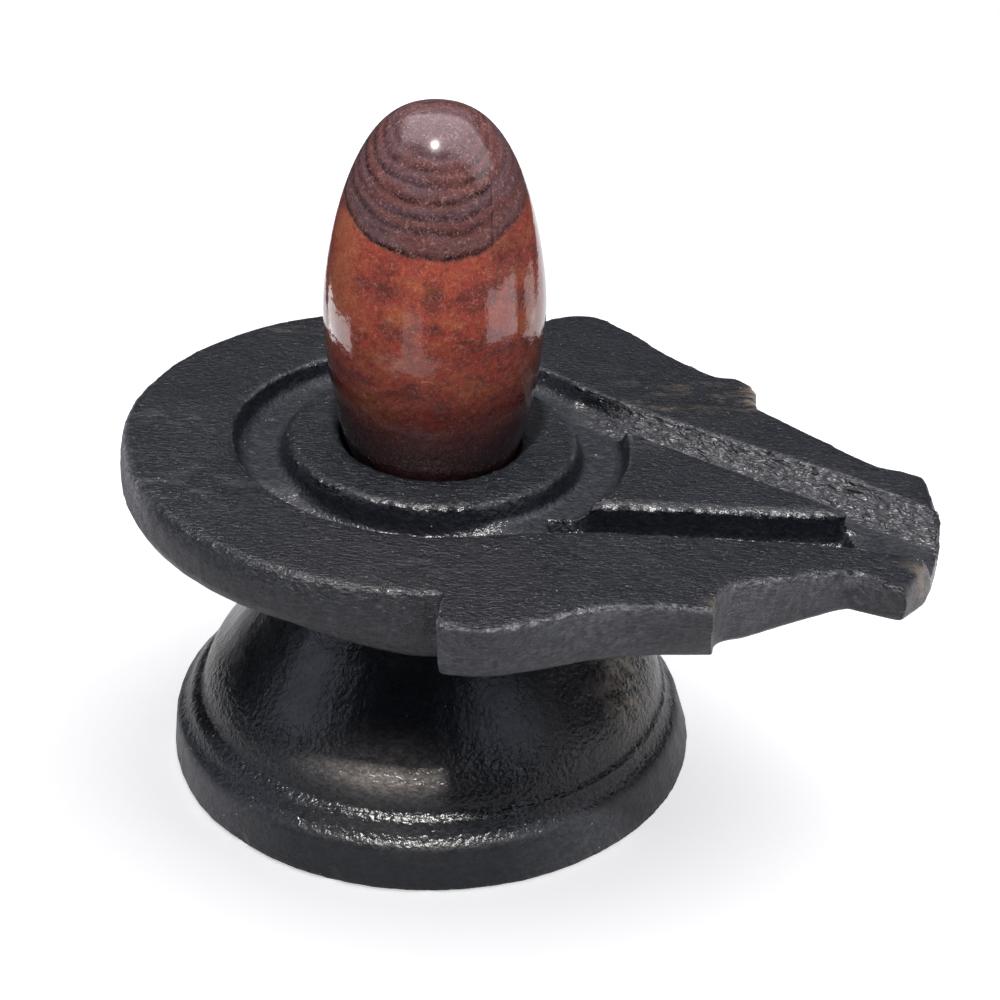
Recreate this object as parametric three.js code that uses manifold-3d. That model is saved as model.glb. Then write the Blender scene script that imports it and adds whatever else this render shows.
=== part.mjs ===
// A polished lingam stone standing in the socket of a carved stone yoni base.
// Millimetres, +Z up, +X along the spout; the origin is the centre of the plinth's underside.
import * as THREE from 'three';
import { mergeVertices } from 'three/addons/utils/BufferGeometryUtils.js';
import Module from 'manifold-3d';

// Driving dimensions
const plinthRadius = 83.8;      // at the floor
const plinthTopRadius = 81.2;   // the wall leans in a little
const plinthHeight = 14.2;
const bellFootRadius = 73.9;    // where the bell meets the plinth's moulding
const bellFootHeight = 21.6;
const mouldingShift = new THREE.Vector2(-1.4, -0.4);   // the plinth's top is carved off centre
const waistRadius = 45.5;
const waistHeight = 76;
const headHeight = 96;          // the bell's top, inside the plate
const plateRadius = 90.5;
const plateCentre = new THREE.Vector2(-2.2, 0);
const plateTopHeight = 107.9;   // over the origin
const plateTilt = 2.53;         // degrees, falling towards the spout
const spoutHalfWidth = 31;      // at its narrowest
const channelOuterRadius = 59.9;
const bossRadius = 44.9;
const channelDepth = 6.6;
const stoneRadius = 32.8;
const stoneWidestHeight = 150.8;
const stoneTopHeight = 210.9;
const stoneTailHeight = 72.7;   // where the lower curve would close
const stoneFootHeight = 74.6;   // the small flat spot that it stands on
const stoneLean = new THREE.Vector2(0.01035, 0.00342);   // run per unit of height
const stoneFootCentre = new THREE.Vector2(0, -0.7);
const socketClearance = 0.9;
const restingGap = 0.3;
const turnedSegments = 60;

const lift = THREE.MathUtils.smoothstep;
const wasm = await Module();
wasm.setup();

// A three.js geometry as a manifold solid, and back again
function toSolid(geometry) {
  const bare = geometry.clone();
  bare.deleteAttribute('normal');
  bare.deleteAttribute('uv');
  const merged = mergeVertices(bare, 1e-4);
  return new wasm.Manifold(new wasm.Mesh({
    numProp: 3,
    vertProperties: new Float32Array(merged.attributes.position.array),
    triVerts: new Uint32Array(merged.index.array),
  }));
}

function toGeometry(solid) {
  const mesh = solid.getMesh();
  const geometry = new THREE.BufferGeometry();
  geometry.setAttribute('position', new THREE.BufferAttribute(mesh.vertProperties, 3));
  geometry.setIndex(new THREE.BufferAttribute(mesh.triVerts, 1));
  geometry.computeVertexNormals();
  return geometry;
}

// Moves every vertex of a geometry by a function of its place
function reshape(geometry, move) {
  const place = geometry.attributes.position;
  const point = new THREE.Vector3();
  for (let i = 0; i < place.count; i += 1) {
    point.fromBufferAttribute(place, i);
    move(point);
    place.setXYZ(i, point.x, point.y, point.z);
  }
  return geometry;
}

// A profile of [radius, height] pairs turned about +Z
function turned(profile, segments) {
  const points = profile.map(([radius, height]) => new THREE.Vector2(radius, height));
  return new THREE.LatheGeometry(points, segments).rotateX(Math.PI / 2);
}

// A smooth run of points through a few places, the first one left out
function smoothRun(places, divisions) {
  const curve = new THREE.SplineCurve(places.map(([x, y]) => new THREE.Vector2(x, y)));
  return curve.getPoints(divisions).slice(1);
}

// From the plate's own frame, whose top is z = 0, into place
function seated(geometry) {
  return geometry.rotateY(THREE.MathUtils.degToRad(plateTilt)).translate(0, 0, plateTopHeight);
}

// Plinth, moulding and bell in one turned profile
function pedestal() {
  const cavetto = new THREE.QuadraticBezierCurve(
    new THREE.Vector2(plinthTopRadius - 2.1, plinthHeight + 0.7),
    new THREE.Vector2(77.4, 16.2),
    new THREE.Vector2(76.7, 19.4),
  ).getPoints(3).map((p) => [p.x, p.y]);
  const bell = new THREE.SplineCurve([
    new THREE.Vector2(bellFootRadius, bellFootHeight),
    new THREE.Vector2(72.8, 26.5),
    new THREE.Vector2(69.4, 32.6),
    new THREE.Vector2(62.6, 41.5),
    new THREE.Vector2(52.2, 56),
    new THREE.Vector2(46.8, 67),
    new THREE.Vector2(waistRadius, waistHeight),
    new THREE.Vector2(50, 88),
    new THREE.Vector2(56, headHeight),
  ]).getPoints(12).map((p) => [p.x, p.y]);
  const body = turned([
    [0, 0],
    [plinthRadius - 0.9, 0],
    [plinthRadius, 1],
    [plinthTopRadius + 0.4, plinthHeight - 2],
    [plinthTopRadius - 0.5, plinthHeight - 0.2],
    ...cavetto,
    [75.6, 20.7],
    [74.2, 20.9],
    [bellFootRadius - 0.6, 20.4],
    ...bell,
    [0, headHeight],
  ], turnedSegments);
  return reshape(body, (point) => {
    const share = Math.min(point.z / plinthHeight, 1) * (1 - lift(point.z, 18, bellFootHeight));
    point.x += mouldingShift.x * share;
    point.y += mouldingShift.y * share;
  });
}

// The plate's plan: a disc that grows a spout with two scallops and a shoulder on each side
function plateOutline() {
  const nearStart = Math.atan2(-84.7, 30.8);
  const farStart = Math.atan2(89.9, 10.2);
  const shape = new THREE.Shape();
  shape.absarc(plateCentre.x, plateCentre.y, plateRadius, farStart, nearStart + 2 * Math.PI, false);
  const runs = [
    [[28.8, -85.3], [30.8, -96.6]],
    [[30.8, -96.6], [33.4, -99], [43.2, -98.6], [52.3, -92.4], [65.9, -79.9]],
    [[65.9, -79.9], [75, -74.6], [85.8, -70.5], [98.8, -67.6]],
    [[98.8, -67.6], [98.5, -58.7], [101.4, -53.4]],
    [[101.4, -53.4], [112.4, -45.6], [126.5, -36.6], [133.2, -34.1]],
    [[133.2, -34.1], [141.1, -37.2], [146, -39.6]],
    [[146, -39.6], [149, -22], [149.8, -4], [149, 12], [145.2, 30]],
    [[145.2, 30], [138.5, 31.2], [131.5, 31]],
    [[131.5, 31], [121.8, 36.6], [106.6, 46.8], [91.2, 55.6]],
    [[91.2, 55.6], [89.4, 60.3], [88.9, 67]],
    [[88.9, 67], [84.6, 73.2], [79.3, 74.4], [74.2, 74]],
    [[74.2, 74], [57.4, 83.7], [43.6, 95.2], [32.1, 102.6]],
    [[32.1, 102.6], [26.7, 104.6], [21, 103.6], [15, 99.6], [8.2, 89.9]],
  ];
  runs.forEach((run) => {
    smoothRun(run, run.length * 2).forEach((p) => shape.lineTo(p.x, p.y));
  });
  return shape;
}

// The plate's wall, from the top edge down: the share of its depth, how far in from the plan
// it stands on the disc and on the spout, and how much of the lip's round nose it has.
// It ends below the flat underside.
const wall = [
  { down: 0, onDisc: 0.7, onSpout: 0.7, nose: 0 },
  { down: 0.05, onDisc: -0.2, onSpout: 0, nose: 0.3 },
  { down: 0.35, onDisc: -1, onSpout: 0.3, nose: 1 },
  { down: 0.75, onDisc: -0.8, onSpout: 1.3, nose: 1.5 },
  { down: 0.92, onDisc: 0.4, onSpout: 2.4, nose: 1.6 },
  { down: 1.1, onDisc: 5, onSpout: 6.5, nose: 1 },
];
const noseReach = 3.5;
const undercut = 0.42;          // how much of a scallop's overhang is gone at the underside

// Half the plate's plain width at a station along the spout, before its scallops
function plainHalfWidth(x) {
  const disc = Math.sqrt(Math.max(0, plateRadius ** 2 - x ** 2));
  const taper = THREE.MathUtils.mapLinear(x, 30, 133, 86, spoutHalfWidth);
  return x < 30 ? disc : Math.max(taper, spoutHalfWidth);
}

// The underside in side view, as [station along +X, thickness]: thickest under the first scallops
const underside = [[-110, 16.4], [-12, 17.2], [28, 22.9], [106, 21.7], [134, 14.4], [180, 12]];

function thicknessAt(x) {
  const next = underside.findIndex(([station]) => station >= x);
  const [[x0, thick0], [x1, thick1]] = underside.slice(next - 1, next + 1);
  return THREE.MathUtils.mapLinear(x, x0, x1, thick0, thick1);
}

// What is cut away under the plate, so that its underside is flat across
function undersideCut() {
  const reach = 60;
  const width = 260;
  const ends = [[underside.at(-1)[0], reach], [underside[0][0], reach]];
  const outline = [...underside, ...ends].map(([x, thick]) => new THREE.Vector2(x, -thick));
  const block = new THREE.ExtrudeGeometry(new THREE.Shape(outline), { depth: width, bevelEnabled: false });
  return seated(block.rotateX(Math.PI / 2).translate(0, width / 2, 0));
}

function plate() {
  const steps = wall.length - 1;
  const body = new THREE.ExtrudeGeometry(plateOutline(), {
    depth: steps, steps, bevelEnabled: false, curveSegments: 36,
  });
  const spineEnd = 120;
  reshape(body, (point) => {
    const level = wall[steps - Math.round(point.z)];
    const spine = new THREE.Vector2(THREE.MathUtils.clamp(point.x, 0, spineEnd), 0);
    const out = new THREE.Vector2(point.x, point.y).sub(spine);
    const proud = Math.max(0, out.length() - plainHalfWidth(spine.x));
    const alongSpout = lift(point.x, 20, 34);
    const inset = THREE.MathUtils.lerp(level.onDisc, level.onSpout, alongSpout);
    const nose = noseReach * level.nose * lift(point.x, 139, 150);
    out.setLength(out.length() - inset - undercut * proud * level.down * alongSpout);
    const down = -level.down * thicknessAt(point.x);
    point.set(spine.x + out.x + nose, spine.y + out.y, down);
  });
  return seated(body);
}

// The ring channel round the boss, as the closed section that is cut away
function ringChannel() {
  const above = 3;
  const section = [
    [channelOuterRadius + 1.4, above],
    [bossRadius - 3, above],
    [bossRadius - 2.8, 0.2],
    [bossRadius - 0.8, -0.6],
    [bossRadius, -2.4],
    [bossRadius + 1, 1 - channelDepth],
    [bossRadius + 2.8, -channelDepth],
    [channelOuterRadius - 4.2, -channelDepth],
    [channelOuterRadius - 1.6, 1.7 - channelDepth],
    [channelOuterRadius, -0.8],
  ];
  return turned([...section, section[0]], turnedSegments);
}

// A gutter's cut, between its outer edge and its edge along the island
function gutter(start, outerEdge, islandEdge) {
  const shape = new THREE.Shape();
  shape.moveTo(...start);
  shape.lineTo(...outerEdge[0]);
  smoothRun(outerEdge, 10).forEach((p) => shape.lineTo(p.x, p.y));
  islandEdge.forEach(([x, y]) => shape.lineTo(x, y));
  const fillet = 3;
  const above = 4;
  return new THREE.ExtrudeGeometry(shape, {
    depth: channelDepth + above - 2 * fillet,
    bevelEnabled: true,
    bevelThickness: fillet,
    bevelSize: fillet,
    bevelOffset: -fillet,
    bevelSegments: 3,
  }).translate(0, 0, fillet - channelDepth);
}

function nearGutter() {
  return gutter(
    [20.9, -45.4],
    [[24.5, -54.6], [45.1, -44.1], [67.4, -36], [97.8, -27.8], [132.3, -19.6], [165, -18.5]],
    [[165, 8], [126.2, -1.4], [125, -3.4], [43, -27.8]],
  );
}

// The far gutter's outer wall lies back more than the other walls
function farGutter() {
  const lieBack = 3.6;
  const cut = gutter(
    [30, 41.7],
    [[35, 48.6], [56, 40.3], [82.3, 32.7], [119.1, 22.4], [145.2, 11.6], [165, 5]],
    [[165, -14], [126.2, -1.4], [124, 0.4], [44, 28.6]],
  );
  return reshape(cut, (point) => {
    const depth = THREE.MathUtils.clamp(-point.z / channelDepth, 0, 1);
    const middle = 35 - 0.29 * (point.x - 40);
    if (point.y > middle) {
      point.y -= lieBack * depth * lift(point.x, 36, 60) * (1 - lift(point.x, 130, 150));
    }
  });
}

// All the carving that water runs in, as one solid to take away
function waterways() {
  const joined = toSolid(ringChannel()).add(toSolid(nearGutter())).add(toSolid(farGutter()));
  return seated(toGeometry(joined));
}

// Radius of the stone at a height: a blunt upper end and a longer lower one
function stoneRadiusAt(height) {
  const up = (height - stoneWidestHeight) / (stoneTopHeight - stoneWidestHeight);
  if (up >= 0) return stoneRadius * (1 - Math.min(up, 1) ** 1.543) ** (1 / 2.643);
  const down = (stoneWidestHeight - height) / (stoneWidestHeight - stoneTailHeight);
  return stoneRadius * (1 - Math.min(down, 1) ** 1.786) ** 0.5;
}

// Leans a turned solid along the stone's axis, keeping its heights
function leant(geometry) {
  return reshape(geometry, (point) => {
    const rise = point.z - stoneFootHeight;
    point.x += stoneFootCentre.x + stoneLean.x * rise;
    point.y += stoneFootCentre.y + stoneLean.y * rise;
  });
}

function stone() {
  const profile = [[0, stoneFootHeight]];
  const rows = 24;
  for (let i = 0; i <= rows; i += 1) {
    const turn = Math.cos(Math.PI * (1 - i / rows)) / 2 + 0.5;
    const height = THREE.MathUtils.lerp(stoneFootHeight, stoneTopHeight, turn);
    profile.push([i === rows ? 0 : stoneRadiusAt(height), height]);
  }
  return leant(turned(profile, 44));
}

// The socket follows the stone with a little room, and opens out at its mouth
function socket() {
  const floorHeight = stoneFootHeight - restingGap;
  const profile = [[0, floorHeight], [stoneRadiusAt(stoneFootHeight) + 2, floorHeight]];
  const mouthHeight = 105;
  const clearHeight = 115;
  const rows = 5;
  for (let i = 1; i <= rows; i += 1) {
    const height = THREE.MathUtils.lerp(floorHeight, mouthHeight, i / rows);
    profile.push([stoneRadiusAt(height) + socketClearance, height]);
  }
  profile.push([28.6, 108.6], [29, clearHeight], [0, clearHeight]);
  return leant(turned(profile, 40));
}

const stoneMaterial = new THREE.MeshStandardMaterial({ color: 0x6e2f22, roughness: 0.12, metalness: 0 });
const baseMaterial = new THREE.MeshStandardMaterial({ color: 0x1c1d20, roughness: 0.42, metalness: 0 });

const baseSolid = toSolid(plate())
  .subtract(toSolid(undersideCut()))
  .add(toSolid(pedestal()))
  .subtract(toSolid(waterways()))
  .subtract(toSolid(socket()));

const base = new THREE.Mesh(toGeometry(baseSolid), baseMaterial);
base.name = 'yoni_base';

const lingam = new THREE.Mesh(toGeometry(toSolid(stone())), stoneMaterial);
lingam.name = 'lingam_stone';

const object = new THREE.Group();
object.add(base, lingam);

export default object;
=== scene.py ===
import math

import bmesh
import bpy
import numpy as np
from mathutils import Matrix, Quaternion, Vector, noise


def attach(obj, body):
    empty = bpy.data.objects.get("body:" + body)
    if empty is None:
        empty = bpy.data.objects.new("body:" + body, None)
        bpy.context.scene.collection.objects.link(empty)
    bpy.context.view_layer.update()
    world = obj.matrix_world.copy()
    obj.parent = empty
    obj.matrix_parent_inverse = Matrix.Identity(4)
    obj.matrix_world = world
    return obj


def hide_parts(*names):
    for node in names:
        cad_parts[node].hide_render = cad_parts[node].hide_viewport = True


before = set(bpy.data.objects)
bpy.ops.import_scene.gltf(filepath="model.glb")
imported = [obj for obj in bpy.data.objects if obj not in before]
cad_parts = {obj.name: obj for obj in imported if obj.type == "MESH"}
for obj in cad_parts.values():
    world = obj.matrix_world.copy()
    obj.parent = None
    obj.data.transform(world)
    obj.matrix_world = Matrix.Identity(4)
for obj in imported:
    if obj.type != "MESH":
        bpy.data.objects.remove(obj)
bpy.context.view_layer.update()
mm = 0.001
scene = bpy.context.scene
print("frame loaded")


cameraView = {
    "place": (158.3, -510.2, 380.7),   # mm
    "aim": (22.3, -3.1, 90.3),
    "roll": 1.07,                      # degrees
    "lens": 71.2,
    "nearest": 0.01,                   # metres
}


def setCamera():
    place = Vector(cameraView["place"]) * mm
    aim = Vector(cameraView["aim"]) * mm
    turn = (aim - place).to_track_quat("-Z", "Y")
    data = bpy.data.cameras.new("camera")
    data.lens = cameraView["lens"]
    data.clip_start = cameraView["nearest"]
    camera = bpy.data.objects.new("camera", data)
    camera.location = place
    camera.rotation_mode = "QUATERNION"
    camera.rotation_quaternion = turn @ Quaternion((0, 0, 1), math.radians(cameraView["roll"]))
    scene.collection.objects.link(camera)
    scene.camera = camera


setCamera()
print("camera set")


# helpers for meshes
def smoothStep(value, low, high):
    share = min(max((value - low) / (high - low), 0), 1)
    return share * share * (3 - 2 * share)


# how far across a line lies at one x, from its places in order
def acrossAt(places, x):
    for (x0, y0), (x1, y1) in zip(places, places[1:]):
        if x <= x1:
            return y0 + (y1 - y0) * (x - x0) / (x1 - x0)
    return places[-1][1]


def addPiece(name, mesh, material):
    piece = bpy.data.objects.new(name, mesh)
    scene.collection.objects.link(piece)
    mesh.materials.clear()
    mesh.materials.append(material)
    for face in mesh.polygons:
        face.use_smooth = True
    return piece


# a new mesh, with one modifier applied
def withModifier(mesh, kind, **settings):
    carrier = bpy.data.objects.new("carrier", mesh)
    scene.collection.objects.link(carrier)
    modifier = carrier.modifiers.new("shape", kind)
    for key, value in settings.items():
        setattr(modifier, key, value)
    graph = bpy.context.evaluated_depsgraph_get()
    shaped = bpy.data.meshes.new_from_object(carrier.evaluated_get(graph), depsgraph=graph)
    bpy.data.objects.remove(carrier)
    return shaped


# helpers for materials
def addNode(tree, kind, inputs=None, **settings):
    made = tree.nodes.new(kind)
    for key, value in settings.items():
        setattr(made, key, value)
    for key, value in (inputs or {}).items():
        if isinstance(value, bpy.types.NodeSocket):
            tree.links.new(value, made.inputs[key])
        else:
            made.inputs[key].default_value = value
    return made


def newMaterial(name):
    material = bpy.data.materials.new(name)
    material.use_nodes = True
    tree = material.node_tree
    tree.nodes.clear()
    shader = addNode(tree, "ShaderNodeBsdfPrincipled")
    output = addNode(tree, "ShaderNodeOutputMaterial")
    tree.links.new(shader.outputs["BSDF"], output.inputs["Surface"])
    return material, tree, shader


def placeInMm(tree):
    place = addNode(tree, "ShaderNodeTexCoord").outputs["Object"]
    scaled = addNode(tree, "ShaderNodeVectorMath", {0: place, "Scale": 1 / mm}, operation="SCALE")
    return scaled.outputs[0]


# size in mm; stretch draws the pattern out along an axis that is turned about Z by turn degrees
def noiseAt(tree, place, size, detail=2, roughness=0.5, distortion=0, stretch=None, turn=0):
    drawn = place
    if stretch:
        drawn = addNode(tree, "ShaderNodeMapping", {
            "Vector": place, "Scale": stretch, "Rotation": (0, 0, math.radians(turn)),
        }, vector_type="TEXTURE").outputs[0]
    return addNode(tree, "ShaderNodeTexNoise", {
        "Vector": drawn, "Scale": 1 / size, "Detail": detail,
        "Roughness": roughness, "Distortion": distortion,
    }).outputs["Fac"]


# low becomes toLow and high becomes toHigh
def spread(tree, value, low, high, toLow=0, toHigh=1, smooth=True):
    return addNode(tree, "ShaderNodeMapRange", {
        "Value": value, "From Min": low, "From Max": high, "To Min": toLow, "To Max": toHigh,
    }, interpolation_type="SMOOTHSTEP" if smooth else "LINEAR").outputs[0]


def blendColour(tree, share, first, second, mode="MIX"):
    mixed = addNode(tree, "ShaderNodeMix", data_type="RGBA", blend_type=mode)
    for index, value in ((0, share), (6, first), (7, second)):
        if isinstance(value, bpy.types.NodeSocket):
            tree.links.new(value, mixed.inputs[index])
        else:
            mixed.inputs[index].default_value = value if index == 0 else (*value, 1)
    return mixed.outputs[2]


def mixValue(tree, share, first, second):
    return addNode(tree, "ShaderNodeMix", {0: share, 2: first, 3: second}).outputs[0]


def combine(tree, operation, first, second, clamp=False):
    made = addNode(tree, "ShaderNodeMath", {0: first, 1: second}, operation=operation, use_clamp=clamp)
    return made.outputs[0]


def product(tree, *values):
    made = values[0]
    for value in values[1:]:
        made = combine(tree, "MULTIPLY", made, value)
    return made


def vectorMath(tree, operation, *given, result=0):
    return addNode(tree, "ShaderNodeVectorMath", dict(enumerate(given)), operation=operation).outputs[result]


# 1 where the value is within reach of the wanted one
def closeTo(tree, value, wanted, reach):
    return addNode(tree, "ShaderNodeMath", {0: value, 1: wanted, 2: reach}, operation="COMPARE").outputs[0]


def attributeValue(tree, name):
    return addNode(tree, "ShaderNodeAttribute", attribute_name=name).outputs["Fac"]


# fine grains, shared by the polished stone and the paint
def buildGrainGroup():
    group = bpy.data.node_groups.new("fineGrain", "ShaderNodeTree")
    face = group.interface
    face.new_socket("Vector", in_out="INPUT", socket_type="NodeSocketVector")
    size = face.new_socket("Size", in_out="INPUT", socket_type="NodeSocketFloat")
    size.default_value = 1
    contrast = face.new_socket("Contrast", in_out="INPUT", socket_type="NodeSocketFloat")
    contrast.default_value = 0.3
    face.new_socket("Grain", in_out="OUTPUT", socket_type="NodeSocketFloat")
    face.new_socket("Specks", in_out="OUTPUT", socket_type="NodeSocketFloat")
    given = group.nodes.new("NodeGroupInput")
    handed = group.nodes.new("NodeGroupOutput")
    place = given.outputs["Vector"]
    rate = combine(group, "DIVIDE", 1.0, given.outputs["Size"])
    fine = addNode(group, "ShaderNodeTexNoise", {
        "Vector": place, "Scale": rate, "Detail": 4, "Roughness": 0.7}).outputs["Fac"]
    darkest = combine(group, "SUBTRACT", 1.0, given.outputs["Contrast"])
    grain = spread(group, fine, 0.32, 0.68, darkest, 1.0, smooth=False)
    cells = addNode(group, "ShaderNodeTexVoronoi", {"Vector": place, "Scale": rate})
    dots = spread(group, cells.outputs["Distance"], 0.12, 0.04)
    lot = addNode(group, "ShaderNodeSeparateColor", {0: cells.outputs["Color"]}).outputs[0]
    group.links.new(grain, handed.inputs["Grain"])
    group.links.new(product(group, dots, spread(group, lot, 0.86, 0.9)), handed.inputs["Specks"])
    return group


grainGroup = buildGrainGroup()


def grainAt(tree, place, size, contrast):
    made = tree.nodes.new("ShaderNodeGroup")
    made.node_tree = grainGroup
    tree.links.new(place, made.inputs["Vector"])
    made.inputs["Size"].default_value = size
    made.inputs["Contrast"].default_value = contrast
    return made.outputs["Grain"], made.outputs["Specks"]


# the polished stone, in mm over the floor
lingam = {
    "radius": 32.8,
    "widest": 150.8,
    "top": 210.9,
    "tail": 72.7,              # where the lower curve would close
    "foot": 74.6,              # the flat spot that it stands on
    "crownCurve": (1.543, 2.643),   # exponents of the curve above the widest place
    "tailCurve": (1.786, 2),        # and of the one below it
    "footCentre": (0, -0.7),
    "lean": (0.01035, 0.00342),   # run per mm of height
    "rows": 96,
    "turns": 160,
    "lumps": 0.16,             # natural unevenness
    "lumpRate": 0.045,         # per mm
    "socketStretch": (112, 125),   # no lumps below it, all of them above it
}


def lingamRadius(height):
    end, curve = lingam["tail"], lingam["tailCurve"]
    if height >= lingam["widest"]:
        end, curve = lingam["top"], lingam["crownCurve"]
    share = min((height - lingam["widest"]) / (end - lingam["widest"]), 1)
    return lingam["radius"] * (1 - share ** curve[0]) ** (1 / curve[1])


def buildLingam():
    bm = bmesh.new()
    profile = [bm.verts.new((0, 0, lingam["foot"]))]
    for row in range(lingam["rows"] + 1):
        share = 0.5 - math.cos(math.pi * row / lingam["rows"]) / 2
        height = lingam["foot"] + (lingam["top"] - lingam["foot"]) * share
        radius = 0 if row == lingam["rows"] else lingamRadius(height)
        profile.append(bm.verts.new((radius, 0, height)))
    edges = [bm.edges.new(pair) for pair in zip(profile, profile[1:])]
    bmesh.ops.spin(bm, geom=profile + edges, cent=(0, 0, 0), axis=(0, 0, 1),
                   angle=math.tau, steps=lingam["turns"], use_merge=True)
    bmesh.ops.remove_doubles(bm, verts=bm.verts, dist=1e-4)
    bmesh.ops.recalc_face_normals(bm, faces=bm.faces)
    bm.normal_update()
    leanX, leanY = lingam["lean"]
    footX, footY = lingam["footCentre"]
    for vert in bm.verts:
        clear = smoothStep(vert.co.z, *lingam["socketStretch"])
        swell = noise.noise(vert.co * lingam["lumpRate"]) - 0.4
        vert.co += vert.normal * (lingam["lumps"] * swell * clear)
        rise = vert.co.z - lingam["foot"]
        vert.co.x += footX + leanX * rise
        vert.co.y += footY + leanY * rise
    bmesh.ops.scale(bm, vec=(mm, mm, mm), verts=bm.verts)
    mesh = bpy.data.meshes.new("lingamPolished")
    bm.to_mesh(mesh)
    bm.free()
    return mesh


jasper = {
    "layerTilt": (0.113, -0.369, 0.922),   # the layers' own up
    "layers": (174.4, 179.5, 182.4, 185.6, 188.8, 191.4, 193.7),   # dark lines, mm up the tilt
    "layerDepths": (1, 0.8, 0.7, 0.9, 0.8, 0.7, 0.6),
    "layerReach": (170, 200),              # mm up the tilt, around all of them
    "lineShape": ((-0.9, 0), (-0.15, 1), (0.2, 1), (1.5, 0)),   # mm off the line, share of its depth
    "crack": ((0.93, 0.37, 0), 14.4, -0.8),   # a healed crack: its normal, its place, the layers' step
    "crackEdge": (-0.3, 0.9),              # mm off its place, where the step starts and ends
    "crackLine": (0.22, 191, 187, 0.5),    # half its width, the levels where it fades out, its strength
    "capEdge": (-1.2, 0.1),                # mm off the first dark line
    "leaf": (0.12, 0.12, 0),               # how little the cap's tint changes along its layers
    "fray": 1.4,                           # mm, how ragged the layers' edges are
    "shadedPlumFrom": (143, 114),                # mm over the floor: none, full; plum tint and painted shade
    "mauve": (0.074, 0.03, 0.029),
    "purple": (0.062, 0.035, 0.041),
    "darkLine": (0.012, 0.005, 0.006),
    "brick": (0.172, 0.033, 0.023),
    "rust": (0.195, 0.062, 0.028),
    "dusky": (0.05, 0.017, 0.016),
    # a dark plum for the lower end, partly its tint and partly painted shade
    "shadedPlum": (0.034, 0.012, 0.014),
    "fibre": (0.26, 0.15, 0.13),
    # patches: centre, reach, strength
    "smudges": (
        ((9.8, -30.4, 165.5), (4, 6, 6), 0.9), ((-3.2, -31.3, 167), (8, 6, 4), 0.45),
        ((10.1, -31.5, 156.7), (2.2, 5, 2.4), 0.8), ((27, -15, 175), (9, 12, 11), 0.55),
        ((-20, 25, 160), (12, 12, 8), 0.6),
    ),
    "ochre": (
        ((-0.3, -32.5, 159.7), (6, 6, 4), 0.8), ((-19, -25, 166), (8, 12, 16), 0.7),
        ((-20.5, -19, 178), (6, 10, 8), 0.7), ((19.4, -8, 197), (3, 5, 2.5), 0.5),
        ((25, 18, 168), (10, 14, 9), 0.6),
    ),
    "drift": ((17, 2.6), (5, 0.9)),        # size and reach of the flow lines
    "hairShares": (105, 150, 0.08, 0.24),  # two heights over the floor, the share of light hairs at each
    "patterns": {
        "cloth": {"size": 0.8, "detail": 3, "roughness": 0.7},
        "uneven": {"size": 8, "detail": 3, "roughness": 0.6},
        "tint": {"size": 3.4, "roughness": 0.6},
        "veins": {"size": 1.1, "detail": 3, "roughness": 0.7},
        "cloud": {"size": 12, "detail": 5, "roughness": 0.65, "distortion": 0.5, "stretch": (1.2, 1.2, 0.7)},
        "mottle": {"size": 3.2, "detail": 4, "roughness": 0.7},
        "hairs": {"size": 1.7, "detail": 0, "distortion": 1.2},
        "rub": {"size": 9, "detail": 3},
        "sway": {"size": 4, "detail": 3},
    },
    "grain": (1.2, 0.4),                   # size, contrast
    "pit": ((9.7, -27.2, 114.2), 1.0, 1.5),   # centre, radius, depth beside the sway
    "polish": (0.06, 0.11),                # roughness, from bright to rubbed
    "swayHeight": 0.3,                     # mm
    "coat": (0.12, 0.19),                  # weight, roughness
}


# 1 in the middle of an oval patch, 0 past its reach
def patchAt(tree, place, centre, reach, strength=1):
    away = vectorMath(tree, "SUBTRACT", place, centre)
    share = vectorMath(tree, "DIVIDE", away, reach)
    return spread(tree, vectorMath(tree, "LENGTH", share, result=1), 1.1, 0.25, 0, strength)


def patchesAt(tree, place, listed):
    made = None
    for centre, reach, strength in listed:
        patch = patchAt(tree, place, centre, reach, strength)
        made = combine(tree, "MAXIMUM", made, patch) if made else patch
    return made


def jasperPattern(tree, place, name):
    return noiseAt(tree, place, **jasper["patterns"][name])


def driftedPlace(tree, place):
    moved = place
    for size, reach in jasper["drift"]:
        flow = addNode(tree, "ShaderNodeTexNoise", {"Vector": place, "Scale": 1 / size, "Detail": 3})
        offset = vectorMath(tree, "SUBTRACT", flow.outputs["Color"], (0.5, 0.5, 0.5))
        moved = vectorMath(tree, "MULTIPLY_ADD", offset, (reach, reach, reach), moved)
    return moved


# how dark the cap's lines are at each level
def lineDepth(tree, level):
    low, high = jasper["layerReach"]
    ramp = addNode(tree, "ShaderNodeValToRGB", {"Fac": spread(tree, level, low, high, smooth=False)})
    stops = ramp.color_ramp.elements
    for stop, position in zip(stops, (0, 1)):
        stop.position, stop.color = position, (0, 0, 0, 1)
    for height, depth in zip(jasper["layers"], jasper["layerDepths"]):
        for away, share in jasper["lineShape"]:
            stop = stops.new((height + away - low) / (high - low))
            stop.color = (depth * share, depth * share, depth * share, 1)
    return ramp.outputs["Color"]


# the mauve cap with its dark lines and thin veins
def capColour(tree, place, moved, level, frayed, beyond):
    uneven = jasperPattern(tree, place, "uneven")
    lines = product(tree, lineDepth(tree, frayed), spread(tree, uneven, 0.34, 0.6, 0.5, 1))
    lines = product(tree, lines, spread(tree, beyond, 0, 1, 1, 0.4))
    flat = vectorMath(tree, "MULTIPLY", moved, jasper["leaf"])
    upright = addNode(tree, "ShaderNodeCombineXYZ", {2: level}).outputs[0]
    leafed = vectorMath(tree, "ADD", flat, upright)
    tint = spread(tree, jasperPattern(tree, leafed, "tint"), 0.42, 0.6)
    veins = spread(tree, jasperPattern(tree, leafed, "veins"), 0.52, 0.72, 0, 0.55)
    cap = blendColour(tree, tint, jasper["mauve"], jasper["purple"])
    return blendColour(tree, combine(tree, "MAXIMUM", lines, veins), cap, jasper["darkLine"])
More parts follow.
